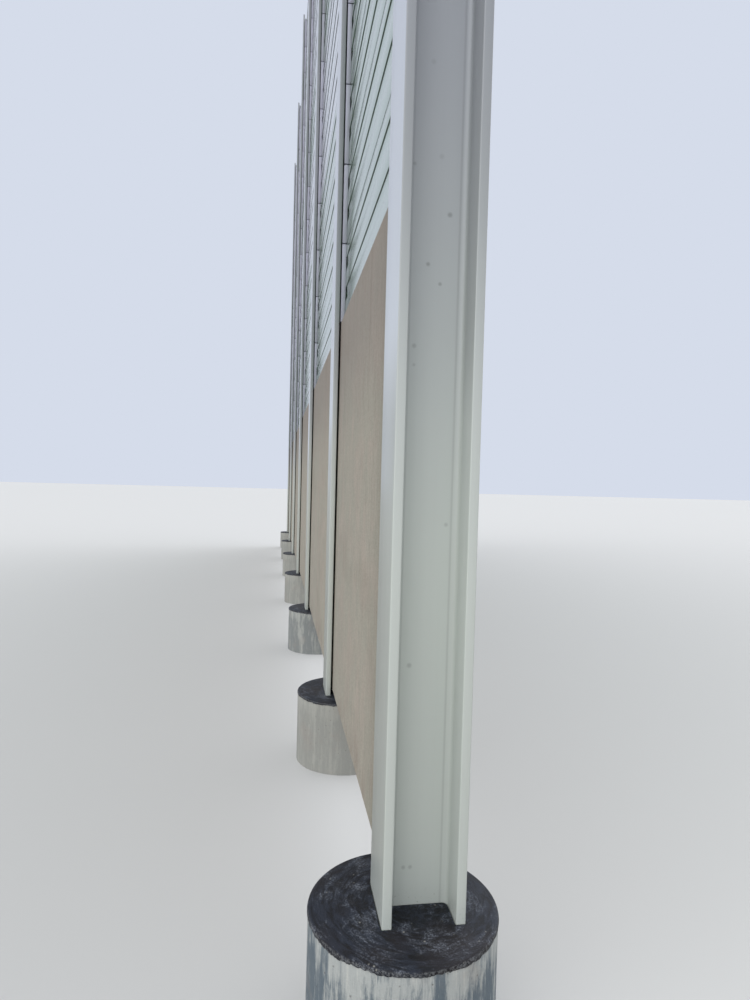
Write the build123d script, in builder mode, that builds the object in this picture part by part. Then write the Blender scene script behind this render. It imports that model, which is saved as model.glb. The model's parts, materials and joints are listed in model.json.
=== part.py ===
from build123d import *
import os

# A noise barrier wall: rolled posts set in round bored piles, one tall concrete plinth panel per
# bay, and a stack of ribbed aluminium cassettes above it, slid down between the post flanges.
# Millimetres. X runs along the wall from the end post, +Y is the front face, +Z is up.
# The origin is on the flat underside of the end pile, on the line of the posts.

# Bays
BAY_COUNT = 6
BAY_LENGTH = 3000.0
FIRST_BAY_LENGTH = 2300.0

# Rolled wide-flange post
POST_DEPTH = 270.0
POST_WIDTH = 248.0
POST_FLANGE = 32.0
POST_WEB = 18.0
POST_ROOT_RADIUS = 21.0
POST_ABOVE_CAPPING = 100.0
POST_EMBEDMENT = 300.0

# Bored pile
PILE_RADIUS = 315.0
PILE_EXPOSED = 455.0
PILE_RIM_CHAMFER = 8.0
END_PILE_OFF_LINE = 45.0
POCKET_CLEARANCE = 0.5

# Concrete plinth panel and the pads it stands on
PLINTH_HEIGHT = 2400.0
PLINTH_THICKNESS = 176.0
PLINTH_WEB_CLEARANCE = 32.0
PLINTH_CHAMFER = 6.0
PAD_HEIGHT = 30.0
PAD_LENGTH = 90.0
PAD_WIDTH = 130.0
PAD_FROM_PANEL_END = 60.0

# Rubber seals in the channels, set back from the panel ends
SEAL_WIDTH = 24.0
SEAL_FROM_PANEL_END = 20.0

# Ribbed aluminium cassettes, in bands of colour from the bottom
CASSETTE_HEIGHT = 500.0
CASSETTE_DEPTH = 134.0
CASSETTE_JOINT = 0.5
RIB_DEPTH = 5.5
RIB_UNDERSIDE_RUN = 2.0
RIB_SHOULDER_RUN = 14.0
VALLEY_LEVELS = ((130.0, 220.0), (324.0, 414.0))
BANDS = (("green", 4), ("grey", 3), ("green", 2), ("grey", 4), ("green", 1), ("grey", 2))

# End caps that widen the cassettes to the channel of the post
END_CAP_DEPTH = 190.0
END_CAP_LENGTH = 72.0
END_CAP_WEB_CLEARANCE = 36.0

# Capping profile over the top cassette
CAPPING_LIP = 24.0
CAPPING_WALL = 3.0
CAPPING_CLEARANCE = 0.3

# Worked out from the sizes above
HALF_WEB = POST_WEB / 2
HALF_WIDTH = POST_WIDTH / 2
FLANGE_INNER_Y = POST_DEPTH / 2 - POST_FLANGE
POST_FOOT = PILE_EXPOSED - POST_EMBEDMENT
PLINTH_BOTTOM = PILE_EXPOSED + PAD_HEIGHT
PLINTH_TOP = PLINTH_BOTTOM + PLINTH_HEIGHT
CASSETTE_COLOURS = [colour for colour, count in BANDS for _ in range(count)]
CASSETTES_TOP = PLINTH_TOP + len(CASSETTE_COLOURS) * CASSETTE_HEIGHT - CASSETTE_JOINT
CAPPING_TOP = CASSETTES_TOP + CAPPING_WALL
POST_TOP = CAPPING_TOP + POST_ABOVE_CAPPING
POST_LINES = [0.0] + [FIRST_BAY_LENGTH + BAY_LENGTH * step for step in range(BAY_COUNT)]
PILE_CENTRES = [(POST_LINES[0], END_PILE_OFF_LINE)] + [(line, 0.0) for line in POST_LINES[1:]]
PLINTH_SETBACK = HALF_WEB + PLINTH_WEB_CLEARANCE
END_CAP_SETBACK = HALF_WEB + END_CAP_WEB_CLEARANCE
CASSETTE_SETBACK = END_CAP_SETBACK + END_CAP_LENGTH

os.makedirs("parts", exist_ok=True)


def save(part, name):
    part.label = name
    export_step(part, "parts/" + name + ".step")


def post_section(grow, round_roots=True):
    """The rolled section of the post, or the pocket round it when it is grown by a clearance."""
    channel = HALF_WIDTH - HALF_WEB
    channel_middle = (HALF_WIDTH + HALF_WEB) / 2 + grow
    with BuildSketch() as section:
        Rectangle(POST_WIDTH + 2 * grow, POST_DEPTH + 2 * grow)
        with Locations((channel_middle, 0), (-channel_middle, 0)):
            Rectangle(channel, 2 * (FLANGE_INNER_Y - grow), mode=Mode.SUBTRACT)
        roots = section.vertices().filter_by(lambda v: abs(v.X) < HALF_WEB + 2 * grow + 1)
        if round_roots:
            fillet(roots, POST_ROOT_RADIUS - grow)
        else:
            chamfer(roots, POST_ROOT_RADIUS)
    return section.sketch


def cassette_section():
    """One ribbed cassette across the wall, standing on its bottom edge, the same on both faces."""
    rib_y = CASSETTE_DEPTH / 2
    valley_y = rib_y - RIB_DEPTH
    face = [(rib_y, 0)]
    for low, high in VALLEY_LEVELS:
        face.append((rib_y, low))
        face.append((valley_y, low + RIB_SHOULDER_RUN))
        face.append((valley_y, high - RIB_UNDERSIDE_RUN))
        face.append((rib_y, high))
    face.append((rib_y, CASSETTE_HEIGHT - CASSETTE_JOINT))
    with BuildSketch() as section:
        with BuildLine():
            Polyline(*face, *[(-y, z) for y, z in reversed(face)], close=True)
        make_face()
    return section.sketch


POST_PROFILE = post_section(0.0)
POCKET_PROFILE = post_section(POCKET_CLEARANCE, round_roots=False)
CASSETTE_PROFILE = cassette_section()

# Bored piles, each with a pocket cast round its post, its corners cut straight over the root radii
with BuildPart() as piles:
    with BuildSketch():
        with Locations(*PILE_CENTRES):
            Circle(PILE_RADIUS)
    extrude(amount=PILE_EXPOSED)
    chamfer(piles.edges().group_by(Axis.Z)[-1], PILE_RIM_CHAMFER)
    with BuildSketch(Plane.XY.offset(POST_FOOT)):
        with Locations(*[(line, 0) for line in POST_LINES]):
            add(POCKET_PROFILE)
    extrude(amount=POST_EMBEDMENT, mode=Mode.SUBTRACT)
save(piles.part, "bored_piles")

# Posts, standing on the floors of the pockets
for number, line in enumerate(POST_LINES, start=1):
    with BuildPart() as post:
        with BuildSketch(Plane(origin=(line, 0, POST_FOOT))):
            add(POST_PROFILE)
        extrude(amount=POST_TOP - POST_FOOT)
    save(post.part, f"post_{number}")

# Plinth panels
for number, (start, end) in enumerate(zip(POST_LINES, POST_LINES[1:]), start=1):
    with BuildPart() as plinth:
        with BuildSketch(Plane(origin=((start + end) / 2, 0, PLINTH_BOTTOM))):
            Rectangle(end - start - 2 * PLINTH_SETBACK, PLINTH_THICKNESS)
        extrude(amount=PLINTH_HEIGHT)
        chamfer(plinth.edges().filter_by(Axis.X), PLINTH_CHAMFER)
    save(plinth.part, f"plinth_panel_{number}")

# Bearing pads between the pile heads and the plinth panels
pad_places = []
for start, end in zip(POST_LINES, POST_LINES[1:]):
    inset = PLINTH_SETBACK + PAD_FROM_PANEL_END + PAD_LENGTH / 2
    pad_places += [(start + inset, 0), (end - inset, 0)]
with BuildPart() as pads:
    with BuildSketch(Plane.XY.offset(PILE_EXPOSED)):
        with Locations(*pad_places):
            Rectangle(PAD_LENGTH, PAD_WIDTH)
    extrude(amount=PAD_HEIGHT)
save(pads.part, "bearing_pads")

# Seals between the flanges and the panels, beside the plinth and beside the end caps
seal_levels = (
    ("plinth_seals", PLINTH_BOTTOM, PLINTH_HEIGHT - PLINTH_CHAMFER, PLINTH_THICKNESS, PLINTH_SETBACK),
    ("cassette_seals", PLINTH_TOP, CASSETTES_TOP - PLINTH_TOP, END_CAP_DEPTH, END_CAP_SETBACK),
)
for name, bottom, height, panel_depth, setback in seal_levels:
    seal_thickness = FLANGE_INNER_Y - panel_depth / 2
    seal_y = panel_depth / 2 + seal_thickness / 2
    seal_places = []
    for start, end in zip(POST_LINES, POST_LINES[1:]):
        inset = setback + SEAL_FROM_PANEL_END + SEAL_WIDTH / 2
        for x in (start + inset, end - inset):
            seal_places += [(x, seal_y), (x, -seal_y)]
    with BuildPart() as seals:
        with BuildSketch(Plane.XY.offset(bottom)):
            with Locations(*seal_places):
                Rectangle(SEAL_WIDTH, seal_thickness)
        extrude(amount=height)
    save(seals.part, name)

# Cassettes, one node for each colour in each bay
for number, (start, end) in enumerate(zip(POST_LINES, POST_LINES[1:]), start=1):
    cassette_length = end - start - 2 * CASSETTE_SETBACK
    for colour in ("green", "grey"):
        with BuildPart() as cassettes:
            for level, cassette_colour in enumerate(CASSETTE_COLOURS):
                if cassette_colour != colour:
                    continue
                low_edge = (start + CASSETTE_SETBACK, 0, PLINTH_TOP + level * CASSETTE_HEIGHT)
                with BuildSketch(Plane(origin=low_edge, x_dir=(0, 1, 0), z_dir=(1, 0, 0))):
                    add(CASSETTE_PROFILE)
                extrude(amount=cassette_length)
        save(cassettes.part, f"{colour}_cassettes_{number}")

# End caps, two to a cassette
for number, (start, end) in enumerate(zip(POST_LINES, POST_LINES[1:]), start=1):
    cap_middle = END_CAP_SETBACK + END_CAP_LENGTH / 2
    with BuildPart() as end_caps:
        for level in range(len(CASSETTE_COLOURS)):
            with BuildSketch(Plane.XY.offset(PLINTH_TOP + level * CASSETTE_HEIGHT)):
                with Locations((start + cap_middle, 0), (end - cap_middle, 0)):
                    Rectangle(END_CAP_LENGTH, END_CAP_DEPTH)
            extrude(amount=CASSETTE_HEIGHT - CASSETTE_JOINT)
    save(end_caps.part, f"cassette_end_caps_{number}")

# Capping profiles, folded down over the faces of the top cassettes
with BuildPart() as cappings:
    for start, end in zip(POST_LINES, POST_LINES[1:]):
        origin = (start + CASSETTE_SETBACK, 0, CASSETTES_TOP)
        inner = CASSETTE_DEPTH / 2 + CAPPING_CLEARANCE
        outer = inner + CAPPING_WALL
        with BuildSketch(Plane(origin=origin, x_dir=(0, 1, 0), z_dir=(1, 0, 0))):
            with BuildLine():
                Polyline(
                    (-outer, CAPPING_WALL), (-outer, -CAPPING_LIP), (-inner, -CAPPING_LIP), (-inner, 0),
                    (inner, 0), (inner, -CAPPING_LIP), (outer, -CAPPING_LIP), (outer, CAPPING_WALL),
                    close=True,
                )
            make_face()
        extrude(amount=end - start - 2 * CASSETTE_SETBACK)
save(cappings.part, "top_cappings")
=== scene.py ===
# %% [markdown]
# A noise barrier wall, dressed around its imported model.
# Rolled steel posts stand in bored piles, a tall concrete plinth closes each bay to above head height,
# and ribbed aluminium cassettes in green and light grey bands are stacked above it. Every length here
# is in metres, X runs along the wall from the end post, and +Y is the front face.

# %% Load the frame
import json
import math

import bmesh
import bpy
from mathutils import Matrix, Vector, noise


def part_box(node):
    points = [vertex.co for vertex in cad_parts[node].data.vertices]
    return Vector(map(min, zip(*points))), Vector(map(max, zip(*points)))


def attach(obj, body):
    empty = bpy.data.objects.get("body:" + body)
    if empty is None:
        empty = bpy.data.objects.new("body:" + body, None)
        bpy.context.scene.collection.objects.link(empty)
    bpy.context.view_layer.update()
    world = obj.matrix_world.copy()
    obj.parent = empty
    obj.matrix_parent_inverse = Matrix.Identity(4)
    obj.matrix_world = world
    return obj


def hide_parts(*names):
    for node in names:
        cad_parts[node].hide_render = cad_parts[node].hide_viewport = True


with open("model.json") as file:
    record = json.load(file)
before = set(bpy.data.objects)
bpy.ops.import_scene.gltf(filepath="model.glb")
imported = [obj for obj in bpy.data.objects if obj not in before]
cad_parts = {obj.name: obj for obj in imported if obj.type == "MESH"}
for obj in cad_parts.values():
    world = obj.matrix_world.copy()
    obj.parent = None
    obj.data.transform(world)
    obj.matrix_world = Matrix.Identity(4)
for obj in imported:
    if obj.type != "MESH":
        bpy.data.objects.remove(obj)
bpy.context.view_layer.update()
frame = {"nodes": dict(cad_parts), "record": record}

# %% [markdown]
# The wall repeats itself, so a few lengths say where everything is: the lines of the posts, the tops of
# the piles, and the foot and the head of the plinth. They could be written down as numbers, but reading
# them from the frame keeps this script right if the model changes.

# %% Lengths of the wall
BAYS = 6
POST_COUNT = BAYS + 1


def middle_x(node):
    low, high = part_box(node)
    return (low.x + high.x) / 2


POST_LINES = [middle_x(f"post_{number}") for number in range(1, POST_COUNT + 1)]
PILE_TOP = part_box("bored_piles")[1].z
PLINTH_LOW, PLINTH_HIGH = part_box("plinth_panel_1")
print("post lines", [round(line, 3) for line in POST_LINES], "plinth top", round(PLINTH_HIGH.z, 4))

# %% [markdown]
# Colours are easiest to compare with a photograph as the 0 to 255 numbers of a picture, while shaders
# work with linear light. One small function turns the first into the second.

# %% Colour helper
def paint(red, green, blue):
    """A picture's 0 to 255 colour as the linear colour that a shader takes."""
    linear = []
    for value in (red, green, blue):
        share = value / 255
        linear.append(share / 12.92 if share <= 0.04045 else ((share + 0.055) / 1.055) ** 2.4)
    return (*linear, 1.0)


print("middle grey", [round(channel, 3) for channel in paint(128, 128, 128)])

# %% [markdown]
# A finish is a material whose pattern is worked out by nodes. It could also be a picture wrapped round
# the piece, but a pattern that is worked out from the place in space has no seams and fits every size.
# Wiring nodes by hand is long to read, so small classes do it. Value wraps one socket and lets
# Python's own operators add Math nodes.

# %% Value
class Value:
    """A number, vector or colour inside a node tree, for use in Python expressions."""

    def __init__(self, owner, socket):
        self.owner = owner
        self.socket = socket

    def _math(self, operation, *numbers):
        return self.owner.node("ShaderNodeMath", {"operation": operation}, numbers)

    def __add__(self, other):
        return self._math("ADD", self, other)

    def __radd__(self, other):
        return self._math("ADD", other, self)

    def __sub__(self, other):
        return self._math("SUBTRACT", self, other)

    def __rsub__(self, other):
        return self._math("SUBTRACT", other, self)

    def __mul__(self, other):
        return self._math("MULTIPLY", self, other)

    def __rmul__(self, other):
        return self._math("MULTIPLY", other, self)

    def __truediv__(self, other):
        return self._math("DIVIDE", self, other)

    def __rtruediv__(self, other):
        return self._math("DIVIDE", other, self)

    def __abs__(self):
        return self._math("ABSOLUTE", self)

    def floor(self):
        return self._math("FLOOR", self)

    def step(self, low, high):
        """0 below low, 1 above high, and a smooth rise between them."""
        settings = {"interpolation_type": "SMOOTHSTEP"}
        return self.owner.node("ShaderNodeMapRange", settings, [self, low, high, 0.0, 1.0])

    def between(self, low, full, fading, gone):
        """A smooth rise from low to full and a smooth fall from fading to gone."""
        return self.step(low, full) * (1 - self.step(fading, gone))


# %% [markdown]
# Every other node is made by one method. The node's settings come first, because they decide which
# sockets it has, and then its sockets take numbers or links. A method for each kind of node would read
# a little easier, but there are more than a dozen kinds, and this one serves them all.

# %% Nodes
class Nodes:
    """A node tree and the method that fills it."""

    def __init__(self, tree):
        self.tree = tree

    def node(self, kind, settings=None, inputs=(), output=0):
        made = self.tree.nodes.new(kind)
        for key, setting in (settings or {}).items():
            setattr(made, key, setting)
        pairs = inputs.items() if isinstance(inputs, dict) else enumerate(inputs)
        for key, item in pairs:
            if isinstance(item, Value):
                self.tree.links.new(item.socket, made.inputs[key])
            else:
                made.inputs[key].default_value = item
        return Value(self, made.outputs[output])


# %% [markdown]
# Finish is the tree of one material. It knows the place of each point, and it has the few patterns that
# this wall needs: noise, spots, blends, tints and a fine relief. A number that is the same all over goes
# straight into the shader's socket, and only what changes over the surface is linked.

# %% Finish
class Finish(Nodes):
    """One material: a Principled shader and the nodes that vary it over the surface."""

    def __init__(self, name, **constants):
        self.material = bpy.data.materials.new(name)
        self.material.use_nodes = True
        super().__init__(self.material.node_tree)
        self.shader = self.tree.nodes["Principled BSDF"]
        for socket, number in constants.items():
            self.shader.inputs[socket.replace("_", " ")].default_value = number
        self.place = self.node("ShaderNodeTexCoord", output="Object")
        self.x, self.y, self.z = (
            self.node("ShaderNodeSeparateXYZ", inputs=[self.place], output=axis) for axis in range(3)
        )

    def stretched(self, x, y, z):
        """Object coordinates times a factor along each axis, so that a pattern can run one way."""
        return self.node("ShaderNodeVectorMath", {"operation": "MULTIPLY"}, [self.place, (x, y, z)])

    def noise(self, vector, scale, detail=3.0, roughness=0.55, distortion=0.0):
        sockets = {
            "Vector": vector, "Scale": scale, "Detail": detail,
            "Roughness": roughness, "Distortion": distortion,
        }
        return self.node("ShaderNodeTexNoise", inputs=sockets)

    def spots(self, vector, scale):
        """Distance to the nearest of many scattered points."""
        return self.node("ShaderNodeTexVoronoi", inputs={"Vector": vector, "Scale": scale})

    def blend(self, share, first, second):
        """The first colour where share is 0, the second where it is 1."""
        return self.node("ShaderNodeMix", {"data_type": "RGBA"}, {0: share, 6: first, 7: second}, 2)

    def tint(self, colour, share):
        """A colour made lighter or darker by a number near 1."""
        grey = self.node("ShaderNodeCombineXYZ", inputs=[share, share, share])
        first = colour if isinstance(colour, Value) else colour[:3]
        return self.node("ShaderNodeVectorMath", {"operation": "MULTIPLY"}, [first, grey])

    def surface(self, **links):
        """Link what changes over the surface to the shader's sockets."""
        for socket, item in links.items():
            self.tree.links.new(item.socket, self.shader.inputs[socket.replace("_", " ")])

    def relief(self, height, depth, strength):
        """Small relief of the given depth in metres, for light to catch."""
        made = self.node("ShaderNodeBump", inputs={"Strength": strength, "Distance": depth, "Height": height})
        self.surface(Normal=made)


# %% [markdown]
# The record names a slot for each finish. Every piece could bring a material of its own, but then each
# change would be made many times over. The materials are kept under the names of their slots instead,
# so that a CAD node and the piece that stands for it share one.

# %% Shelf of finishes
FINISHES = {}


def shelve(slot_name, material):
    FINISHES[slot_name] = material
    print(slot_name, len(material.node_tree.nodes), "nodes")


# %% [markdown]
# Several finishes depend on how far a point is from its own post. Each bay could have a material of its
# own, but one that works the distance out serves the whole wall. All posts stand at the same pitch
# except the end post, whose bay is shorter, so rounding down and one switch are enough.

# %% Distance from the nearest post
PITCH = POST_LINES[2] - POST_LINES[1]


def from_post(finish):
    """X measured from the line of the nearest post."""
    number = ((finish.x - POST_LINES[1]) / PITCH + 0.5).floor()
    regular = finish.x - POST_LINES[1] - number * PITCH
    end_bay_middle = POST_LINES[1] / 2
    past_middle = finish.x.step(end_bay_middle - 0.01, end_bay_middle)
    return finish.x + (regular - finish.x) * past_middle


print("pitch", round(PITCH, 3))

# %% [markdown]
# The sides of a rolled post get different painted light and shade. Painting each face by hand would need a
# material or a map for each post, while the distance from the post's line and from the wall's middle plane
# tells them apart on all seven at once: the flange tips, the outer faces, the insides of the flanges, the
# round roots, and a thin line on the web beside each root.

# %% Sides of a post
def post_sides(finish):
    """Masks of the root, the line on the web beside it, the tips, the outer faces and the inner faces."""
    across = abs(from_post(finish))
    depth = abs(finish.y)
    before_flange = 1 - depth.step(0.1034, 0.1058)
    root = across.between(0.0110, 0.0141, 0.0245, 0.0332) * before_flange
    root_edge_line = depth.between(0.0728, 0.0775, 0.0806, 0.0831) * (1 - across.step(0.0095, 0.0110))
    tip = across.step(0.1208, 0.1229)
    outer = depth.step(0.1311, 0.1342) * (1 - tip)
    inner = depth.step(0.0949, 0.1020) * before_flange * (1 - tip)
    return root, root_edge_line, tip, outer, inner


# %% [markdown]
# A few small smudges are left where the coat was touched. Noise would put them anywhere, but the ones
# on the end post's web show in the picture, so they are placed one by one. Each is a soft ball in space,
# and the web cuts a round spot out of it.

# %% Smudges on the end post
HALF_WEB = 0.009
# Across the web, up from the origin, radius and strength
WEB_SMUDGES = (
    (0.022, 3.17, 0.012, 0.5), (-0.013, 2.88, 0.012, 0.5), (-0.045, 2.70, 0.012, 1.3),
    (0.074, 2.85, 0.009, 0.9), (0.022, 2.54, 0.010, 1.3), (-0.019, 2.48, 0.009, 1.2),
    (0.060, 2.28, 0.011, 0.9), (0.059, 2.22, 0.008, 0.7), (-0.062, 1.71, 0.010, 0.7),
    (0.090, 1.60, 0.009, 0.8), (0.047, 1.25, 0.012, 0.9), (0.048, 0.58, 0.010, 0.9),
    (0.025, 0.58, 0.010, 0.9),
)


def web_smudges(finish):
    smudge = 0.0
    for y, z, radius, strength in WEB_SMUDGES:
        centre = (-HALF_WEB, y, z)
        distance = finish.node("ShaderNodeVectorMath", {"operation": "DISTANCE"}, [finish.place, centre], 1)
        smudge = smudge + (1 - distance.step(radius * 0.2, radius)) * strength
    return smudge


print("smudges", len(WEB_SMUDGES))

# %% [markdown]
# The posts have a satin powder coat over galvanising, a pale grey green. It is almost even: a slow
# cloudiness, faint vertical runs left by rain, and splashes near the foot. Light and shade are painted onto
# it as well: the coat is painted paler on the lowest two metres and darker higher up. The outer faces get a
# painted reflection, pale and bluish, above about two metres, and painted shade below it, darkest just under
# that height. The flange tips high up and the insides of the flanges get painted shade, most of it high up,
# and the round roots get a painted highlight, with a thin line of painted shade beside each on the web. One
# kind of noise makes the clouds, the runs and the specks alike, because it can be stretched along Z or made
# fine.

# %% Post coating
def post_coating():
    finish = Finish("post_coating", Coat_Weight=0.5, Coat_Roughness=0.28)
    cloud = finish.noise(finish.stretched(1.6, 1.6, 0.7), 1.0, 4.0)
    runs = finish.noise(finish.stretched(38.0, 38.0, 0.55), 1.0, 3.0, 0.6)
    speckle = finish.noise(finish.place, 420.0, 2.0, 0.7)
    splash = finish.noise(finish.place, 90.0, 4.0, 0.7).step(0.60, 0.70)
    foot = 1 - finish.z.step(PILE_TOP, PILE_TOP + 0.09)
    root, root_edge_line, tip, outer, inner = post_sides(finish)
    # Height masks for painted light: a painted reflection on the outer faces above about two metres, and
    # painted shade just under it.
    painted_light_above = finish.z.step(1.98, 2.36)
    painted_shade_step = finish.z.step(1.70, 1.95)
    # Painted shade: darker high up and near the ground, on the high flange tips, on the line beside each
    # root, on the outer faces under two metres and on the insides of the flanges. Painted light on the outer
    # faces above two metres.
    tone_factor = 1.0 - finish.z.step(1.7, 2.7) * 0.04 - (1 - finish.z.step(0.4, 1.8)) * 0.10
    tone_factor = tone_factor * (1 - tip * finish.z.step(2.0, 3.0) * 0.21 - root_edge_line * 0.13)
    tone_factor = tone_factor * (1 + outer * (painted_light_above * 0.40 - 0.17 - painted_shade_step * 0.10) - inner * (0.12 + painted_light_above * 0.17))
    stray = finish.spots(finish.stretched(1.0, 1.0, 0.7), 2.2)
    smudge = web_smudges(finish) + (1 - stray.step(0.012, 0.045)) * 0.8
    # Painted light and shade by height: the coat is painted paler on the lowest two metres and darker above.
    dust_and_painted_light = 1 - finish.z.step(1.4, 3.6)
    colour = finish.blend(dust_and_painted_light, paint(178, 182, 188), paint(211, 217, 210))
    # Painted reflection of the pale backdrop, bluish, on the upper outer faces.
    colour = finish.blend(outer * painted_light_above * 0.5, colour, paint(196, 204, 220))
    colour = finish.tint(colour, tone_factor * (0.95 + cloud * 0.06 + runs * 0.05))
    colour = finish.blend(smudge * (0.20 + speckle * 0.32), colour, paint(108, 112, 108))
    # Painted highlight: a paler line along each round root, strongest low down.
    colour = finish.blend(root * (0.22 - finish.z.step(1.9, 3.0) * 0.16), colour, paint(216, 222, 212))
    colour = finish.blend(foot * (splash * 0.5 + cloud * 0.15), colour, paint(98, 98, 88))
    finish.surface(Base_Color=colour, Roughness=0.36 + runs * 0.10 + foot * 0.2 + smudge * 0.1)
    finish.relief(speckle * 0.5 + cloud, 0.0003, 0.5)
    return finish.material


shelve("post_paint", post_coating())

# %% [markdown]
# The plinth is precast concrete. Its front face was drawn with a broom, which leaves short upright streaks
# and a fine grain. It is a warm beige, duller towards the top, with painted shade, a dull olive, where each
# panel starts just past its post, on one side of the post only. The back face is smoother and greyer, with
# soft cloudy patches. Two materials on one panel would show a hard line at the corner, so the sign of the Y
# coordinate blends the two faces within one finish.

# %% Plinth concrete
def plinth_concrete():
    finish = Finish("plinth_concrete", Roughness=0.88)
    streak = finish.noise(finish.stretched(80.0, 8.0, 9.0), 1.0, 5.0, 0.66, 0.35)
    comb = finish.noise(finish.stretched(170.0, 8.0, 70.0), 1.0, 3.0, 0.6)
    cloud = finish.noise(finish.stretched(1.0, 1.0, 1.5), 1.3, 5.0, 0.6, 0.4)
    patch = finish.noise(finish.stretched(1.4, 1.0, 1.0), 3.6, 5.0, 0.65)
    grain = finish.noise(finish.stretched(70.0, 70.0, 150.0), 1.0, 4.0, 0.75)
    pores = 1 - finish.spots(finish.place, 36.0).step(0.03, 0.11)
    front = finish.y.step(-0.02, 0.02)
    warm = finish.blend(patch.step(0.35, 0.65), paint(167, 163, 149), paint(170, 161, 148))
    # Painted shade, blended in below as a dull olive: the concrete just past each post, on one side only.
    beside_post_shade = from_post(finish).between(-0.02, 0.02, 0.05, 0.75)
    tone_factor = 1.08 - finish.z.step(1.5, 2.7) * 0.10
    lines = streak * 0.70 + comb * 0.40 + patch * 0.12 + grain * 0.72
    brushed = finish.tint(warm, tone_factor * lines)
    brushed = finish.blend(beside_post_shade * 0.70, brushed, paint(126, 124, 111))
    brushed = finish.blend(finish.z.step(2.0, 2.7) * 0.45, brushed, paint(132, 121, 117))
    cast = finish.tint(paint(182, 179, 171), 0.70 + cloud * 0.36 + patch * 0.22)
    colour = finish.blend(front, cast, brushed)
    runs = finish.noise(finish.stretched(14.0, 4.0, 0.5), 1.0, 4.0, 0.6).step(0.55, 0.72)
    wet = runs * (0.12 + finish.z.step(PLINTH_HIGH.z - 0.9, PLINTH_HIGH.z) * 0.20)
    colour = finish.blend(wet, colour, paint(112, 106, 96))
    colour = finish.blend(cloud.step(0.52, 0.68) * 0.22, colour, paint(140, 128, 114))
    colour = finish.blend(pores * 0.35, colour, paint(100, 92, 84))
    foot = 1 - finish.z.step(PLINTH_LOW.z, PLINTH_LOW.z + 0.30)
    colour = finish.blend(foot * patch.step(0.40, 0.70) * 0.35, colour, paint(112, 100, 88))
    finish.surface(Base_Color=colour)
    relief = streak * front + comb * front * 0.5 + grain * 0.6 - pores * 0.6
    finish.relief(relief, 0.0018, 0.8)
    return finish.material


shelve("plinth_concrete", plinth_concrete())

# %% [markdown]
# Painted shade lies under each fold of a cassette and in the joints: those lines are darkened, rougher and
# with less clear layer. A separate dark strip would stand proud of the sheet, while a mask made from the
# height within the cassette lies in the fold by itself. The two valleys of a cassette are given by their
# bottom and top edges, measured from the cassette's own foot.

# %% Grime on a cassette
CASSETTE_HEIGHT = 0.5
VALLEYS = ((0.130, 0.220), (0.324, 0.414))
SHADE_RISE = 0.0010
# Down from the upper fold: where the painted shade is full, and where it starts to fade
SHADE_FULL = 0.0019
SHADE_FADING = 0.0006


def cassette_fold_shade(height):
    """Painted shade: 1 in the joints and just under the upper fold of each valley, by height above the
    cassette's foot.
    """
    joint_below = 1 - height.step(0.0008, 0.0050)
    joint_above = height.step(CASSETTE_HEIGHT - 0.0050, CASSETTE_HEIGHT - 0.0015)
    fold_shade = joint_below + joint_above
    for _, fold in VALLEYS:
        full = fold - SHADE_FULL
        fold_shade = fold_shade + height.between(full - SHADE_RISE, full, fold - SHADE_FADING, fold + 0.0002)
    return fold_shade


# %% [markdown]
# The cassettes are coil coated aluminium: an even colour under a semi-gloss clear layer, so at a low
# angle they softly mirror what is around them. Sheet never lies quite flat, and a slow relief makes
# those reflections waver. Each cassette came from its own run of coil, so its tone differs by a percent
# or two. That could be a material for each sheet, but here the level and the bay are turned into whole
# numbers and looked up as noise, so one finish serves them all.

# %% Cassette coating
def cassette_coating(name, base, shade):
    finish = Finish(name, Metallic=0.5, Coat_Weight=1.0, Coat_Roughness=0.18, Coat_IOR=1.8)
    level = ((finish.z - PLINTH_HIGH.z) / CASSETTE_HEIGHT).floor()
    bay = ((finish.x - POST_LINES[1]) / PITCH).floor()
    sheet_number = finish.node("ShaderNodeCombineXYZ", inputs=[level, bay, 0.0])
    batch = finish.node("ShaderNodeTexWhiteNoise", {"noise_dimensions": "3D"}, [sheet_number])
    runs = finish.noise(finish.stretched(24.0, 6.0, 0.8), 1.0, 4.0, 0.6)
    cloud = finish.noise(finish.stretched(0.9, 1.0, 1.4), 1.0, 4.0)
    speckle = finish.noise(finish.place, 520.0, 2.0, 0.7)
    waver = finish.noise(finish.stretched(1.7, 1.0, 4.2), 1.0, 2.0, 0.4)
    fold_shade = cassette_fold_shade(finish.z - PLINTH_HIGH.z - level * CASSETTE_HEIGHT)
    colour = finish.tint(base, 0.95 + batch * 0.05 + cloud * 0.04 + runs * 0.03)
    colour = finish.blend(runs.step(0.56, 0.78) * 0.20, colour, shade)
    # Painted shade under the folds and in the joints, where the clear layer is also turned down.
    colour = finish.blend(fold_shade * 0.85, colour, paint(60, 70, 76))
    roughness = 0.16 + runs * 0.10 + speckle * 0.05 + fold_shade * 0.4
    finish.surface(Base_Color=colour, Roughness=roughness, Coat_Weight=1 - fold_shade * 0.7)
    finish.relief(waver + speckle * 0.012, 0.004, 0.06)
    return finish.material


shelve("green_coating", cassette_coating("green_coating", paint(96, 134, 97), paint(77, 107, 80)))
shelve("grey_coating", cassette_coating("grey_coating", paint(185, 190, 194), paint(152, 157, 163)))

# %% [markdown]
# The end caps are bare extruded aluminium, dulled by weather to a slightly violet grey. Extruding
# draws fine lines along the piece, and water leaves pale blooms and darker stains. Full metal would
# only mirror the backdrop, so the metallic share is low, as it is on oxidised metal.

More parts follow.
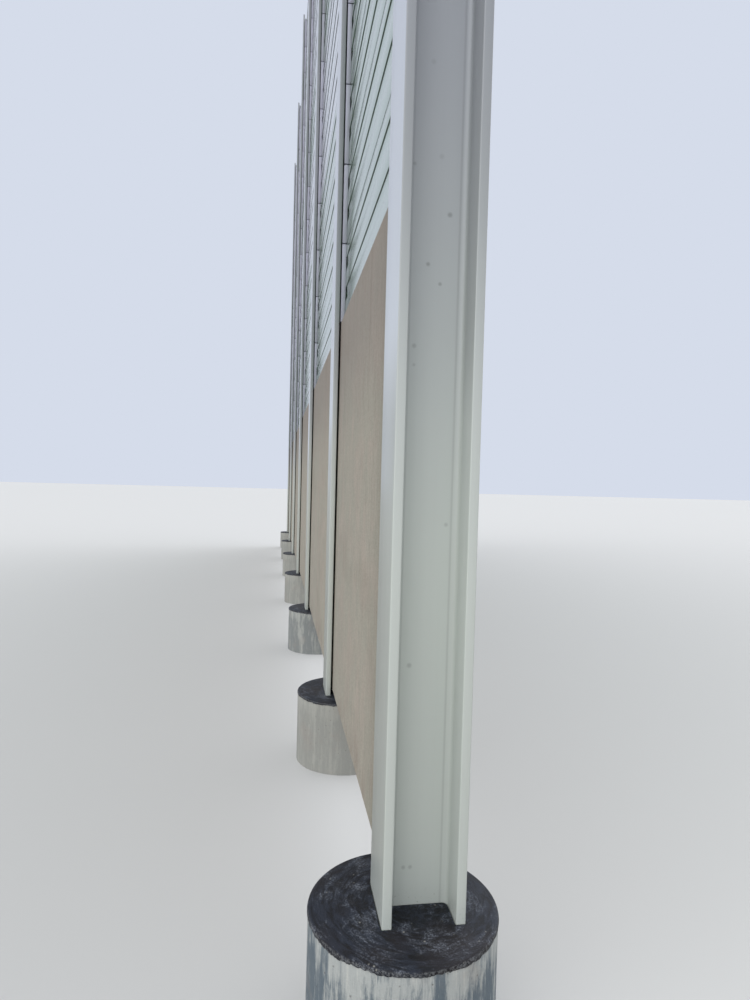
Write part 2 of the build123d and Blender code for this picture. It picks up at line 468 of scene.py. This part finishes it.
# %% End cap aluminium
def end_cap_metal():
    finish = Finish("end_cap_metal", Metallic=0.25)
    drawn = finish.noise(finish.stretched(260.0, 260.0, 1.2), 1.0, 2.0)
    bloom = finish.noise(finish.stretched(7.0, 7.0, 3.0), 1.0, 5.0, 0.65)
    stain = finish.noise(finish.stretched(60.0, 60.0, 2.4), 1.0, 4.0).step(0.52, 0.74)
    colour = finish.tint(paint(200, 200, 214), 0.86 + drawn * 0.12 + bloom * 0.12)
    colour = finish.blend(stain * 0.30, colour, paint(122, 122, 126))
    finish.surface(Base_Color=colour, Roughness=0.38 + bloom * 0.28)
    finish.relief(drawn, 0.0002, 0.6)
    return finish.material


shelve("end_cap_aluminium", end_cap_metal())

# %% [markdown]
# The piles are rough concrete, washed with pale slurry that ran down in streaks, white over blue
# grey. The streaks are noise drawn out along Z, wide and narrow ones with short dabs between them,
# because one width alone looks like a printed pattern. The first and the third pile got the most
# slurry, and the others are plainer and more even, so a blend along X turns the streaks down there.

# %% Pile concrete
def pile_concrete():
    finish = Finish("pile_concrete", Roughness=0.9)
    run = finish.noise(finish.stretched(15.0, 15.0, 1.6), 1.0, 8.0, 0.72, 0.12)
    thin_run = finish.noise(finish.stretched(62.0, 62.0, 5.0), 1.0, 5.0, 0.7)
    dab = finish.noise(finish.stretched(14.0, 14.0, 8.0), 1.0, 6.0, 0.72)
    patch = finish.noise(finish.place, 5.5, 5.0, 0.6)
    grain = finish.noise(finish.place, 150.0, 4.0, 0.7)
    pores = 1 - finish.spots(finish.place, 30.0).step(0.04, 0.14)
    away_from_third = abs(finish.x - POST_LINES[2]).step(0.7, 1.2)
    plain = finish.x.step(0.6, 1.6) * (0.46 + away_from_third * 0.32)
    below_rim = finish.z.step(PILE_TOP - 0.15, PILE_TOP - 0.04)
    slurry = (run * 0.75 + dab * 0.25 + below_rim * 0.07).step(0.485, 0.585)
    colour = finish.blend(slurry, paint(108, 120, 128), paint(188, 192, 189))
    colour = finish.blend(thin_run.step(0.50, 0.66) * 0.50, colour, paint(122, 131, 137))
    colour = finish.blend((1 - thin_run.step(0.34, 0.46)) * 0.50, colour, paint(218, 218, 210))
    colour = finish.blend(plain, colour, paint(177, 176, 167))
    colour = finish.blend(patch.step(0.50, 0.72) * 0.35, colour, paint(170, 161, 152))
    colour = finish.blend(pores * 0.5, colour, paint(104, 100, 94))
    colour = finish.tint(colour, 0.82 + grain * 0.22)
    finish.surface(Base_Color=colour)
    finish.relief(run * 0.6 + thin_run * 0.4 + grain * 0.4 - pores * 0.5, 0.003, 0.8)
    return finish.material


shelve("pile_concrete", pile_concrete())

# %% [markdown]
# Bitumen was brushed over the pile heads. It is blue black and half glossy where it lies thick, browner
# in places, and chalky where it has been rubbed. The brush went round the post, so its marks are rings:
# the noise runs quickly with the distance from the post and slowly with the direction, taken as a unit
# vector so that the pattern has no seam, as an angle would have where it starts again.

# %% Bitumen
def bitumen():
    finish = Finish("bitumen", Specular_IOR_Level=0.3)
    across = from_post(finish)
    radius = finish.node("ShaderNodeMath", {"operation": "SQRT"}, [across * across + finish.y * finish.y])
    swirl = finish.node(
        "ShaderNodeCombineXYZ", inputs=[radius * 52, across / radius * 3.4, finish.y / radius * 3.4]
    )
    brush = finish.noise(swirl, 1.0, 5.0, 0.70, 0.8)
    scuff = finish.noise(finish.place, 8.0, 6.0, 0.70, 0.8)
    grit = finish.noise(finish.place, 150.0, 5.0, 0.80)
    tone = finish.noise(finish.place, 3.4, 3.0)
    speck = 1 - finish.spots(finish.place, 34.0).step(0.04, 0.15)
    rim = 1 - finish.z.step(PILE_TOP - 0.006, PILE_TOP - 0.0015)
    chalk = (scuff * 0.6 + brush * 0.4).step(0.48, 0.62) * grit.step(0.44, 0.60)
    colour = finish.blend(brush.step(0.36, 0.62), paint(12, 12, 16), paint(36, 41, 52))
    colour = finish.blend(scuff.step(0.50, 0.66) * 0.4, colour, paint(52, 52, 56))
    colour = finish.blend(tone.step(0.44, 0.58) * 0.60, colour, paint(36, 31, 33))
    colour = finish.blend(chalk * 0.90, colour, paint(116, 121, 130))
    colour = finish.blend(rim * grit.step(0.44, 0.58) * 0.45, colour, paint(136, 138, 138))
    colour = finish.blend(speck * scuff.step(0.50, 0.62) * 0.7, colour, paint(168, 166, 156))
    finish.surface(Base_Color=colour, Roughness=0.50 + chalk * 0.40 + brush * 0.08)
    finish.relief(brush * 0.8 + grit * 0.5, 0.0028, 0.8)
    return finish.material


shelve("bitumen_coat", bitumen())

# %% [markdown]
# The seals and pads are black rubber, so deep in the channels and under the panels that little more
# than their darkness shows. Plain black would look like a hole in the picture, so a soft dusting and a
# fine grain catch a little light.

# %% Rubber
def rubber():
    finish = Finish("rubber", Roughness=0.8)
    dust_and_painted_light = finish.noise(finish.place, 18.0, 5.0, 0.6)
    grain = finish.noise(finish.place, 300.0, 2.0)
    colour = finish.blend(dust_and_painted_light.step(0.45, 0.75) * 0.5, paint(24, 24, 25), paint(62, 60, 57))
    finish.surface(Base_Color=colour)
    finish.relief(grain, 0.0004, 0.5)
    return finish.material


shelve("rubber", rubber())

# %% [markdown]
# Each CAD node keeps the slot that the record gives it and gets its finish from the shelf, while its
# mesh stays as it is. The pads and the seals are plain blocks in the dark, so they stay in view as they
# come. All the others make way for the pieces that are modelled below.

# %% Put the finishes on the CAD nodes
for row in frame["record"]["subparts"]:
    mesh = frame["nodes"][row["node"]].data
    mesh.materials.clear()
    mesh.materials.append(FINISHES[row["material_slot"]])

# %% [markdown]
# Pieces are modelled as by hand, with operators. Lists of points would give the same shapes, but nobody
# could follow them. An operator works on all that is selected, and the CAD nodes arrive selected, so
# everything is let go first. Faces and edges are picked in code, by where they are and which way they
# point: a direction counts as along an axis when its share of that axis is above ALONG, and a place
# counts as reached when it is less than NEAR away.

# %% Select and cut
ALONG = 0.9
NEAR = 0.001


def only(piece):
    """Select one piece and nothing else."""
    bpy.ops.object.select_all(action="DESELECT")
    piece.select_set(True)
    bpy.context.view_layer.objects.active = piece


def block(name, low, high):
    """A cube primitive between two corners, ready in edit mode, with nothing selected."""
    low, high = Vector(low), Vector(high)
    bpy.ops.object.select_all(action="DESELECT")
    bpy.ops.mesh.primitive_cube_add(size=1.0, location=(low + high) / 2)
    piece = bpy.context.active_object
    piece.name = name
    piece.scale = high - low
    bpy.ops.object.transform_apply(location=True, rotation=False, scale=True)
    bpy.ops.object.mode_set(mode="EDIT")
    bpy.ops.mesh.select_all(action="DESELECT")
    return piece


def cut(axis, places):
    """Cut the whole mesh in edit mode by planes across one axis."""
    normal = Vector((axis == "x", axis == "y", axis == "z"))
    for place in places:
        bpy.ops.mesh.select_all(action="SELECT")
        bpy.ops.mesh.bisect(plane_co=normal * place, plane_no=normal)


def pick(piece, kind, test):
    """Select in edit mode the faces or edges whose middle and direction pass a test."""
    bpy.ops.mesh.select_mode(type=kind)
    bpy.ops.mesh.select_all(action="DESELECT")
    mesh = bmesh.from_edit_mesh(piece.data)
    if kind == "FACE":
        for face in mesh.faces:
            face.select_set(bool(test(face.calc_center_median(), face.normal)))
    else:
        for edge in mesh.edges:
            ends = edge.verts[0].co, edge.verts[1].co
            edge.select_set(bool(test((ends[0] + ends[1]) / 2, (ends[1] - ends[0]).normalized())))
    bmesh.update_edit_mesh(piece.data)


# %% [markdown]
# When a piece has its shape, it leaves edit mode and is shaded: faces that meet at a small angle look
# like one round surface, and sharper edges stay crisp. What repeats is modelled once, then copied or
# stacked. Copies could share one mesh, but the finishes read the place that is in the mesh, so each
# copy has its own.

# %% Shade, copy and join
def smooth(piece, degrees):
    """Shade as one surface the faces that meet at less than an angle."""
    only(piece)
    bpy.ops.object.shade_smooth_by_angle(angle=math.radians(degrees))


def leave(piece, smooth_degrees=40):
    """Back to object mode, shaded."""
    bpy.ops.object.mode_set(mode="OBJECT")
    smooth(piece, smooth_degrees)
    return piece


def copied(piece, name, offset):
    """A copy with its own mesh, moved by an offset that goes into the mesh."""
    other = piece.copy()
    other.data = piece.data.copy()
    other.name = name
    bpy.context.scene.collection.objects.link(other)
    other.data.transform(Matrix.Translation(offset))
    return other


def repeated(piece, count, step_z):
    """The same piece again and again upwards, joined by an applied Array modifier."""
    only(piece)
    array = piece.modifiers.new("upwards", "ARRAY")
    array.count = count
    array.use_relative_offset = False
    array.use_constant_offset = True
    array.constant_offset_displace = (0.0, 0.0, step_z)
    bpy.ops.object.modifier_apply(modifier=array.name)
    return piece


def joined(pieces, name):
    """Several pieces as one."""
    only(pieces[0])
    for piece in pieces[1:]:
        piece.select_set(True)
    bpy.ops.object.join()
    whole = bpy.context.active_object
    whole.name = name
    return whole


# %% [markdown]
# The last step is the same for every piece: it gets its finish, it is told which body it belongs to, and the
# CAD node that it stands for is hidden. One helper does all of it, so that no piece is forgotten. Nothing on
# the wall moves, so its only body is the root.

# %% Dress a piece
def dress(piece, slot_name, node):
    """Give a piece the finish of its slot and its body, and hide the CAD node that it stands for."""
    piece.data.materials.clear()
    piece.data.materials.append(FINISHES[slot_name])
    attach(piece, "root")
    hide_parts(node)


# %% [markdown]
# A rolled post starts as its web, a tall thin block. Two cuts mark where the flanges begin, and the
# outer strips are pulled out sideways into flanges. The inner corners of a rolled section are round
# with a generous radius, and its flange tips have a small one: both are bevels, the first on a hollow
# corner, where it fills instead of cutting. The faces of the top are made one before its edge is dulled,
# so that only the outline is bevelled. Drawing the outline and extruding it would do as well, but the
# same few steps also make the pocket in the pile, by growing every size by a gap.

# %% Rolled posts
FLANGE_INNER = 0.103
ROOT_RADIUS = 0.021
TIP_RADIUS = 0.0045
POST_END_ROUND = 0.002
POST_LOW, POST_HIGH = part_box("post_1")


def rolled_section(name, grow=0.0):
    """The post on the line of the origin, or the same shape grown by a gap all round."""
    web = HALF_WEB + grow
    inner = FLANGE_INNER - grow
    half_width = POST_HIGH.x - POST_LINES[0] + grow
    post = block(name, (-web, POST_LOW.y - grow, POST_LOW.z), (web, POST_HIGH.y + grow, POST_HIGH.z))
    cut("y", (-inner, inner))
    for side in (-1, 1):
        pick(post, "FACE", lambda at, way: way.x * side > ALONG and abs(at.y) > inner)
        bpy.ops.mesh.extrude_region_move(TRANSFORM_OT_translate={"value": (side * (half_width - web), 0, 0)})

    def at_root(at):
        return abs(at.x) < web + NEAR and abs(at.y) < inner + NEAR

    pick(post, "EDGE", lambda at, way: abs(way.z) > ALONG and at_root(at))
    bpy.ops.mesh.bevel(offset=ROOT_RADIUS - grow, segments=6, affect="EDGES")
    pick(post, "EDGE", lambda at, way: abs(way.z) > ALONG and abs(at.x) > half_width - NEAR)
    bpy.ops.mesh.bevel(offset=TIP_RADIUS, segments=3, affect="EDGES")
    pick(post, "FACE", lambda at, way: way.z > ALONG)
    bpy.ops.mesh.dissolve_faces()
    bpy.ops.mesh.bevel(offset=POST_END_ROUND, segments=1, affect="EDGES")
    return leave(post)


first_post = rolled_section("rolled_post")
for number, line in enumerate(POST_LINES, start=1):
    piece = copied(first_post, f"rolled_post_{number}", (line, 0, 0))
    dress(piece, "post_paint", f"post_{number}")
bpy.data.objects.remove(first_post)
print("posts", POST_COUNT)

# %% [markdown]
# A plinth panel is cast lying flat in a steel mould. The long edges get a straight chamfer from a
# fillet strip in the mould, and the corners at the ends come out softer. All edges are straight, so a
# block with two bevels is enough. It is a little thicker than its solid, because it presses the rubber
# seals together until only a narrow dark gap is left beside the flange.

# %% Plinth panels
SEAL_SQUEEZE = 0.003
MOULD_CHAMFER = 0.006
END_CORNER = 0.004


def plinth_panel(name, low, high):
    squeeze = Vector((0, SEAL_SQUEEZE, 0))
    panel = block(name, low - squeeze, high + squeeze)
    pick(panel, "EDGE", lambda at, way: abs(way.z) > ALONG)
    bpy.ops.mesh.bevel(offset=END_CORNER, segments=3, affect="EDGES")
    face = high.y + SEAL_SQUEEZE
    pick(panel, "EDGE", lambda at, way: abs(way.x) > ALONG and abs(at.y) > face - NEAR)
    bpy.ops.mesh.bevel(offset=MOULD_CHAMFER, segments=1, affect="EDGES")
    return leave(panel, 30)


for bay in range(1, BAYS + 1):
    node = f"plinth_panel_{bay}"
    dress(plinth_panel(f"precast_panel_{bay}", *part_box(node)), "plinth_concrete", node)
print("plinth panels", BAYS)

# %% [markdown]
# A cassette is one folded sheet with two shallow valleys on each face. The block is cut where the
# folds are, and the strips between them are pushed in: because their edges are shared, the shoulders
# follow by themselves, which separate strips would not do. The upper side of each valley is nearly
# level, so from below it reads as a dark line, and the lower side is a slope that sheds water. Bevels
# round the folds and open the joint. Each end reaches a little way into its sleeve.

# %% One cassette
CASSETTE_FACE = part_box("green_cassettes_1")[1].y
CASSETTE_JOINT = 0.0005
VALLEY_DEPTH = 0.0055
SHOULDER_RUN = 0.014
UNDERSIDE_RUN = 0.002
FOLD_RADIUS = 0.0018
JOINT_RADIUS = 0.0038
JOINT_REACH = 0.010
SLEEVE_GRIP = 0.040


def cassette(start, end):
    low = (start - SLEEVE_GRIP, -CASSETTE_FACE, PLINTH_HIGH.z)
    high = (end + SLEEVE_GRIP, CASSETTE_FACE, PLINTH_HIGH.z + CASSETTE_HEIGHT - CASSETTE_JOINT)
    sheet = block("cassette", low, high)
    floors = [(bottom + SHOULDER_RUN, top - UNDERSIDE_RUN) for bottom, top in VALLEYS]
    cut("z", [PLINTH_HIGH.z + place for pair in (*VALLEYS, *floors) for place in pair])

    def in_valley(at):
        return any(bottom < at.z - PLINTH_HIGH.z < top for bottom, top in floors)

    def at_joint(at):
        return not low[2] + JOINT_REACH < at.z < high[2] - JOINT_REACH

    for side in (-1, 1):
        pick(sheet, "FACE", lambda at, way: way.y * side > ALONG and in_valley(at))
        bpy.ops.transform.translate(value=(0, -side * VALLEY_DEPTH, 0))
    pick(sheet, "EDGE", lambda at, way: abs(way.x) > ALONG and not at_joint(at))
    bpy.ops.mesh.bevel(offset=FOLD_RADIUS, segments=2, affect="EDGES")
    pick(sheet, "EDGE", lambda at, way: abs(way.x) > ALONG and at_joint(at))
    bpy.ops.mesh.bevel(offset=JOINT_RADIUS, segments=3, affect="EDGES")
    return leave(sheet, 50)


print("folds on each face", 4 * len(VALLEYS))

# %% [markdown]
# The colour bands are counted from the lowest cassette upwards. In each bay, all the cassettes of one
# colour become one piece, as the model has them. Each could be placed by itself, but an Array modifier
# repeats one upwards for each band in a single step, and then the bands of the colour are joined.

# %% Stack the cassettes
BANDS = (("green", 4), ("grey", 3), ("green", 2), ("grey", 4), ("green", 1), ("grey", 2))
LEVELS = sum(count for _, count in BANDS)

for bay in range(1, BAYS + 1):
    for colour in ("green", "grey"):
        node_low, node_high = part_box(f"{colour}_cassettes_{bay}")
        stacks = []
        level = 0
        for band_colour, count in BANDS:
            if band_colour == colour:
                stack = cassette(node_low.x, node_high.x)
                stack.data.transform(Matrix.Translation((0, 0, level * CASSETTE_HEIGHT)))
                stacks.append(repeated(stack, count, CASSETTE_HEIGHT))
            level += count
        piece = joined(stacks, f"{colour}_cassette_stack_{bay}")
        dress(piece, f"{colour}_coating", f"{colour}_cassettes_{bay}")
print("cassettes", BAYS * LEVELS)

# %% [markdown]
# Each cassette ends in a sleeve that fills the channel of the post. Seen from above it is a U: a web
# towards the post and two cheeks that grip the sheet. The valleys run on into the sleeve, so they leave
# narrow dark slots at its mouth, and that is why it is modelled open and not as a block.

# %% End sleeves
CAP_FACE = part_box("cassette_end_caps_1")[1].y
SLEEVE_WEB = 0.016
SLEEVE_GAP = 0.008
GRIP_CLEARANCE = 0.0004
SLEEVE_ROUND = 0.0012


def sleeve(web_x, mouth_x):
    """One sleeve at the lowest level, from its web beside the post to its mouth."""
    way_out = 1 if mouth_x > web_x else -1
    inner_x = web_x + way_out * SLEEVE_WEB
    top = PLINTH_HIGH.z + CASSETTE_HEIGHT - SLEEVE_GAP
    low = (min(web_x, inner_x), -CAP_FACE, PLINTH_HIGH.z)
    high = (max(web_x, inner_x), CAP_FACE, top)
    cap = block("sleeve", low, high)
    grip = CASSETTE_FACE + GRIP_CLEARANCE
    cut("y", (-grip, grip))
    pick(cap, "FACE", lambda at, way: way.x * way_out > ALONG and abs(at.y) > grip)
    bpy.ops.mesh.extrude_region_move(TRANSFORM_OT_translate={"value": (mouth_x - inner_x, 0, 0)})
    pick(cap, "EDGE", lambda at, way: abs(at.y) > grip - NEAR)
    bpy.ops.mesh.bevel(offset=SLEEVE_ROUND, segments=2, affect="EDGES")
    return leave(cap)


for bay in range(1, BAYS + 1):
    node_low, node_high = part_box(f"cassette_end_caps_{bay}")
    sheet_low, sheet_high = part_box(f"green_cassettes_{bay}")
    pair = [sleeve(node_low.x, sheet_low.x), sleeve(node_high.x, sheet_high.x)]
    piece = repeated(joined(pair, f"end_sleeves_{bay}"), LEVELS, CASSETTE_HEIGHT)
    dress(piece, "end_cap_aluminium", f"cassette_end_caps_{bay}")
print("sleeves", 2 * BAYS * LEVELS)

# %% [markdown]
# A folded capping keeps rain out of the top cassette. It is a thin plate whose long edges are pulled
# down into lips, in the same way as the flanges of the post, and the folds are rounded. A plate with a
# Solidify modifier would be quicker, but it would also give its thickness to the ends of the lips.

# %% Cappings
CAPPING_WALL = 0.003
CAPPING_ROUND = 0.0022
TOP_LOW, TOP_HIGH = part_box("top_cappings")


def capping(name, start, end):
    plate_low = (start, TOP_LOW.y, TOP_HIGH.z - CAPPING_WALL)
    cap = block(name, plate_low, (end, TOP_HIGH.y, TOP_HIGH.z))
    lip_y = TOP_HIGH.y - CAPPING_WALL
    cut("y", (-lip_y, lip_y))
    pick(cap, "FACE", lambda at, way: way.z < -ALONG and abs(at.y) > lip_y)
    drop = TOP_LOW.z - plate_low[2]
    bpy.ops.mesh.extrude_region_move(TRANSFORM_OT_translate={"value": (0, 0, drop)})

    def at_fold(at):
        return at.z > TOP_HIGH.z - NEAR and abs(at.y) > lip_y + NEAR

    pick(cap, "EDGE", lambda at, way: abs(way.x) > ALONG and at_fold(at))
    bpy.ops.mesh.bevel(offset=CAPPING_ROUND, segments=3, affect="EDGES")
    return leave(cap)


for bay in range(1, BAYS + 1):
    sheet_low, sheet_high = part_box(f"grey_cassettes_{bay}")
    dress(capping(f"capping_{bay}", sheet_low.x, sheet_high.x), "grey_coating", "top_cappings")
print("cappings", BAYS)

# %% [markdown]
# A pile head is a cylinder that was never quite round. Its rim is knocked soft by a bevel, rings of
# cuts give the side something to bend with, and a displacement by soft clouds dents it. Sculpting
# would do the same by hand, but it can't be written down. The cloud texture is worked out by Blender,
# so no picture is read. The dents only go inwards, and the post's pocket is cut out last.

# %% Pile heads
PILE_RADIUS = 0.3128
END_PILE_OFF_LINE = 0.045
COAT_THICKNESS = 0.0014
RIM_ROUND = 0.009
PILE_SIDES = 128
SIDE_RINGS = 8
POCKET_GAP = 0.006


def pile_head():
    height = PILE_TOP - COAT_THICKNESS
    bpy.ops.object.select_all(action="DESELECT")
    bpy.ops.mesh.primitive_cylinder_add(
        vertices=PILE_SIDES, radius=PILE_RADIUS, depth=height, location=(0, 0, height / 2)
    )
    pile = bpy.context.active_object
    bpy.ops.object.transform_apply(location=True, rotation=False, scale=False)
    bpy.ops.object.mode_set(mode="EDIT")
    cut("z", [height * ring / SIDE_RINGS for ring in range(1, SIDE_RINGS)])
    pick(pile, "FACE", lambda at, way: way.z > ALONG)
    bpy.ops.mesh.bevel(offset=RIM_ROUND, segments=4, affect="EDGES")
    return leave(pile)


def pocketed(piece, post_line, gap):
    """Cut the post's pocket out of a piece, wider than the post by a gap all round."""
    cutter = rolled_section("pocket", gap)
    cutter.data.transform(Matrix.Translation((post_line, 0, 0)))
    only(piece)
    pocket = piece.modifiers.new("pocket", "BOOLEAN")
    pocket.operation = "DIFFERENCE"
    pocket.solver = "EXACT"
    pocket.object = cutter
    bpy.ops.object.modifier_apply(modifier=pocket.name)
    bpy.data.objects.remove(cutter)


# %% [markdown]
# All seven piles start from one cylinder. The dents are read at each pile's own place, so no two piles
# are alike. The end pile stands a little in front of the line of the posts, as it does in the picture.

# %% Place and dent the piles
DENT = 0.0016
DENT_SIZE = 0.12
dents = bpy.data.textures.new("dents", "CLOUDS")
dents.noise_scale = DENT_SIZE
first_pile = pile_head()
pile_centres = [(line, END_PILE_OFF_LINE if number == 0 else 0.0) for number, line in enumerate(POST_LINES)]
for number, (centre_x, centre_y) in enumerate(pile_centres, start=1):
    piece = copied(first_pile, f"bored_pile_{number}", (centre_x, centre_y, 0))
    only(piece)
    displace = piece.modifiers.new("dents", "DISPLACE")
    displace.texture = dents
    displace.texture_coords = "LOCAL"
    displace.strength = DENT
    displace.mid_level = 1.0
    bpy.ops.object.modifier_apply(modifier=displace.name)
    pocketed(piece, centre_x, POCKET_GAP)
    smooth(piece, 40)
    dress(piece, "pile_concrete", "bored_piles")
bpy.data.objects.remove(first_pile)
print("pile heads", POST_COUNT)

# %% [markdown]
# The bitumen over a pile head is a skin with a ragged hem. A painted edge would stay flat, and brushed
# tar has a body, so it is modelled. The hem hangs lower in some places than in others: slow waves with
# two finer ones on them, read round a circle so that the end meets the start.

# %% Hem of the bitumen
HEM_LENGTH = 0.006
HEM_VARIATION = 0.007
HEM_LEAST = 0.001
HEM_WAVES = ((2.5, 1.0), (20.0, 0.7), (55.0, 0.5))
HEM_SEED_STEP = 1.9


def hem_drop(angle, seed):
    """How far below the rim the hem hangs at an angle."""
    across, along = math.cos(angle), math.sin(angle)
    wave = 0.0
    for density, weight in HEM_WAVES:
        wave += weight * noise.noise(Vector((density * across, density * along, seed)))
    return max(HEM_LEAST, HEM_LENGTH + HEM_VARIATION * wave)


print("first hem, straight ahead", round(hem_drop(0.0, HEM_SEED_STEP), 4))

# %% [markdown]
# The pile's upper faces could be copied for the skin, but a round sheet of its own has more points at
# the edge. It is laid on the pile head, pulled out and down in three turns over the rim, and then in
# two steps down the side, each point of the hem by its own length. Solidify adds the thickness.

# %% Bitumen coats
COAT_SIDES = 384
COAT_GAP = 0.0035


def pull_edge(coat, target, *settings):
    """Extrude the selected edge and move each of its points to where target puts it."""
    bpy.ops.mesh.extrude_edges_move()
    mesh = bmesh.from_edit_mesh(coat.data)
    for point in (vert for vert in mesh.verts if vert.select):
        point.co = target(point.co, *settings)
    bmesh.update_edit_mesh(coat.data)


def bitumen_coat(name, centre_x, centre_y, seed):
    sheet_top = PILE_TOP - COAT_THICKNESS
    reach = PILE_RADIUS - RIM_ROUND
    bpy.ops.object.select_all(action="DESELECT")
    bpy.ops.mesh.primitive_circle_add(
        vertices=COAT_SIDES, radius=reach, fill_type="NGON", location=(centre_x, centre_y, sheet_top)
    )
    coat = bpy.context.active_object
    coat.name = name
    bpy.ops.object.transform_apply(location=True, rotation=False, scale=False)
    bpy.ops.object.mode_set(mode="EDIT")
    centre = Vector((centre_x, centre_y))

    def over_rim(at, radius, height):
        side = (at.xy - centre).normalized() * radius
        return Vector((centre_x + side.x, centre_y + side.y, height))

    def down_side(at, share):
        side = at.xy - centre
        drop = share * hem_drop(math.atan2(side.y, side.x), seed)
        return Vector((at.x, at.y, sheet_top - RIM_ROUND - drop))

    for turn in (30, 60, 90):
        pick(coat, "EDGE", lambda at, way: (at.xy - centre).length > reach - NEAR)
        wider = PILE_RADIUS - RIM_ROUND + RIM_ROUND * math.sin(math.radians(turn))
        lower = sheet_top - RIM_ROUND + RIM_ROUND * math.cos(math.radians(turn))
        pull_edge(coat, over_rim, wider, lower)
        reach = wider
    for share in (0.5, 1.0):
        pull_edge(coat, down_side, share)
    leave(coat)
    skin = coat.modifiers.new("skin", "SOLIDIFY")
    skin.thickness = COAT_THICKNESS
    skin.offset = 1.0
    bpy.ops.object.modifier_apply(modifier=skin.name)
    pocketed(coat, centre_x, COAT_GAP)
    smooth(coat, 50)
    dress(coat, "bitumen_coat", "bored_piles")


for number, (centre_x, centre_y) in enumerate(pile_centres, start=1):
    bitumen_coat(f"bitumen_coat_{number}", centre_x, centre_y, HEM_SEED_STEP * number)
print("bitumen coats", POST_COUNT)

# %% [markdown]
# The stage is a plain floor at the foot of the piles, so wide that its edge looks like a horizon. The
# camera sees it pale, while to the light it is a middle tone: a floor that is as bright as it looks
# would light the wall from below.

# %% Floor
FLOOR_SIZE = 600.0
bpy.ops.object.select_all(action="DESELECT")
bpy.ops.mesh.primitive_plane_add(size=FLOOR_SIZE, location=(0, 0, 0))
floor = bpy.context.active_object
floor.name = "floor"
floor_finish = Finish("floor_finish", Roughness=0.9)
in_view = floor_finish.node("ShaderNodeLightPath", output="Is Camera Ray")
floor_finish.surface(Base_Color=floor_finish.blend(in_view, paint(128, 124, 117), paint(204, 204, 202)))
floor.data.materials.append(floor_finish.material)
print("floor", FLOOR_SIZE)

# %% [markdown]
# Around it is an even pale backdrop. The camera sees the backdrop's own colour, and so do reflections,
# while the light that falls on the wall stays at a plain level. A picture of a sky would light the wall
# as well, but then its brightness and its look could not be set apart.

# %% Backdrop
world = bpy.data.worlds.new("backdrop")
bpy.context.scene.world = world
world.use_nodes = True
world.node_tree.nodes.clear()
sky = Nodes(world.node_tree)
camera_ray, glossy_ray, transmission_ray = (
    sky.node("ShaderNodeLightPath", output=f"Is {kind} Ray") for kind in ("Camera", "Glossy", "Transmission")
)
mirrored = sky.node("ShaderNodeMath", {"operation": "MAXIMUM"}, [glossy_ray, transmission_ray])
shown = sky.node("ShaderNodeMath", {"operation": "MAXIMUM"}, [camera_ray, mirrored])
soft_light = sky.node("ShaderNodeBackground", inputs={"Color": paint(246, 249, 255), "Strength": 1.0})
pale_sheet = sky.node("ShaderNodeBackground", inputs={"Color": paint(213, 220, 234), "Strength": 1.0})
chosen = sky.node("ShaderNodeMixShader", inputs=[shown, soft_light, pale_sheet])
world_output = sky.tree.nodes.new("ShaderNodeOutputWorld")
sky.tree.links.new(chosen.socket, world_output.inputs["Surface"])
print("backdrop", len(sky.tree.nodes), "nodes")

# %% [markdown]
# Two very soft suns, one on the front of the wall and a weaker one on its back, round off the upright
# faces. The backdrop alone would light all of them alike and leave the ribs flat.

# %% Suns
SUN_SPREAD = math.radians(70)


def soft_sun(name, travel, strength):
    """A very soft sun whose light travels in the given direction."""
    bpy.ops.object.light_add(type="SUN", rotation=Vector(travel).to_track_quat("-Z", "Y").to_euler())
    sun = bpy.context.active_object
    sun.name = name
    sun.data.energy = strength
    sun.data.angle = SUN_SPREAD


soft_sun("sun_front", (0.55, -0.65, -0.52), 1.1)
soft_sun("sun_back", (-0.45, 0.70, -0.55), 0.8)
print("suns", len(bpy.data.lights))

# %% [markdown]
# The camera stands close to the end post, a little in front of the wall, and looks along it. Its place
# and turn were found by matching the wall's straight lines with those in the picture. The three turned
# directions are put into a matrix by hand, because that is easier to check than three angles in a row.

# %% Camera
CAMERA_PLACE = (-2.0881, 0.4882, 1.826)
YAW = math.radians(-8.64)
TILT = math.radians(-2.08)
ROLL = math.radians(1.49)
PICTURE_HEIGHT = 1000
SENSOR = 36.0
FOCAL_PIXELS = 658.9
CENTRE_Y_PIXEL = 511.1
FARTHEST_SEEN = 500.0

camera_data = bpy.data.cameras.new("camera")
camera = bpy.data.objects.new("camera", camera_data)
bpy.context.scene.collection.objects.link(camera)
forward = Vector((math.cos(TILT) * math.cos(YAW), math.cos(TILT) * math.sin(YAW), math.sin(TILT)))
right = Vector((math.sin(YAW), -math.cos(YAW), 0.0))
upward = right.cross(forward)
rolled_right = right * math.cos(ROLL) + upward * math.sin(ROLL)
rolled_up = upward * math.cos(ROLL) - right * math.sin(ROLL)
turn = Matrix((rolled_right, rolled_up, -forward)).transposed()
camera.matrix_world = Matrix.Translation(CAMERA_PLACE) @ turn.to_4x4()
camera_data.sensor_width = SENSOR
camera_data.lens = FOCAL_PIXELS / PICTURE_HEIGHT * SENSOR
camera_data.shift_y = (CENTRE_Y_PIXEL - PICTURE_HEIGHT / 2) / PICTURE_HEIGHT
camera_data.clip_end = FARTHEST_SEEN
bpy.context.scene.camera = camera
bpy.context.scene.view_settings.view_transform = "Standard"
print("lens", round(camera_data.lens, 2))
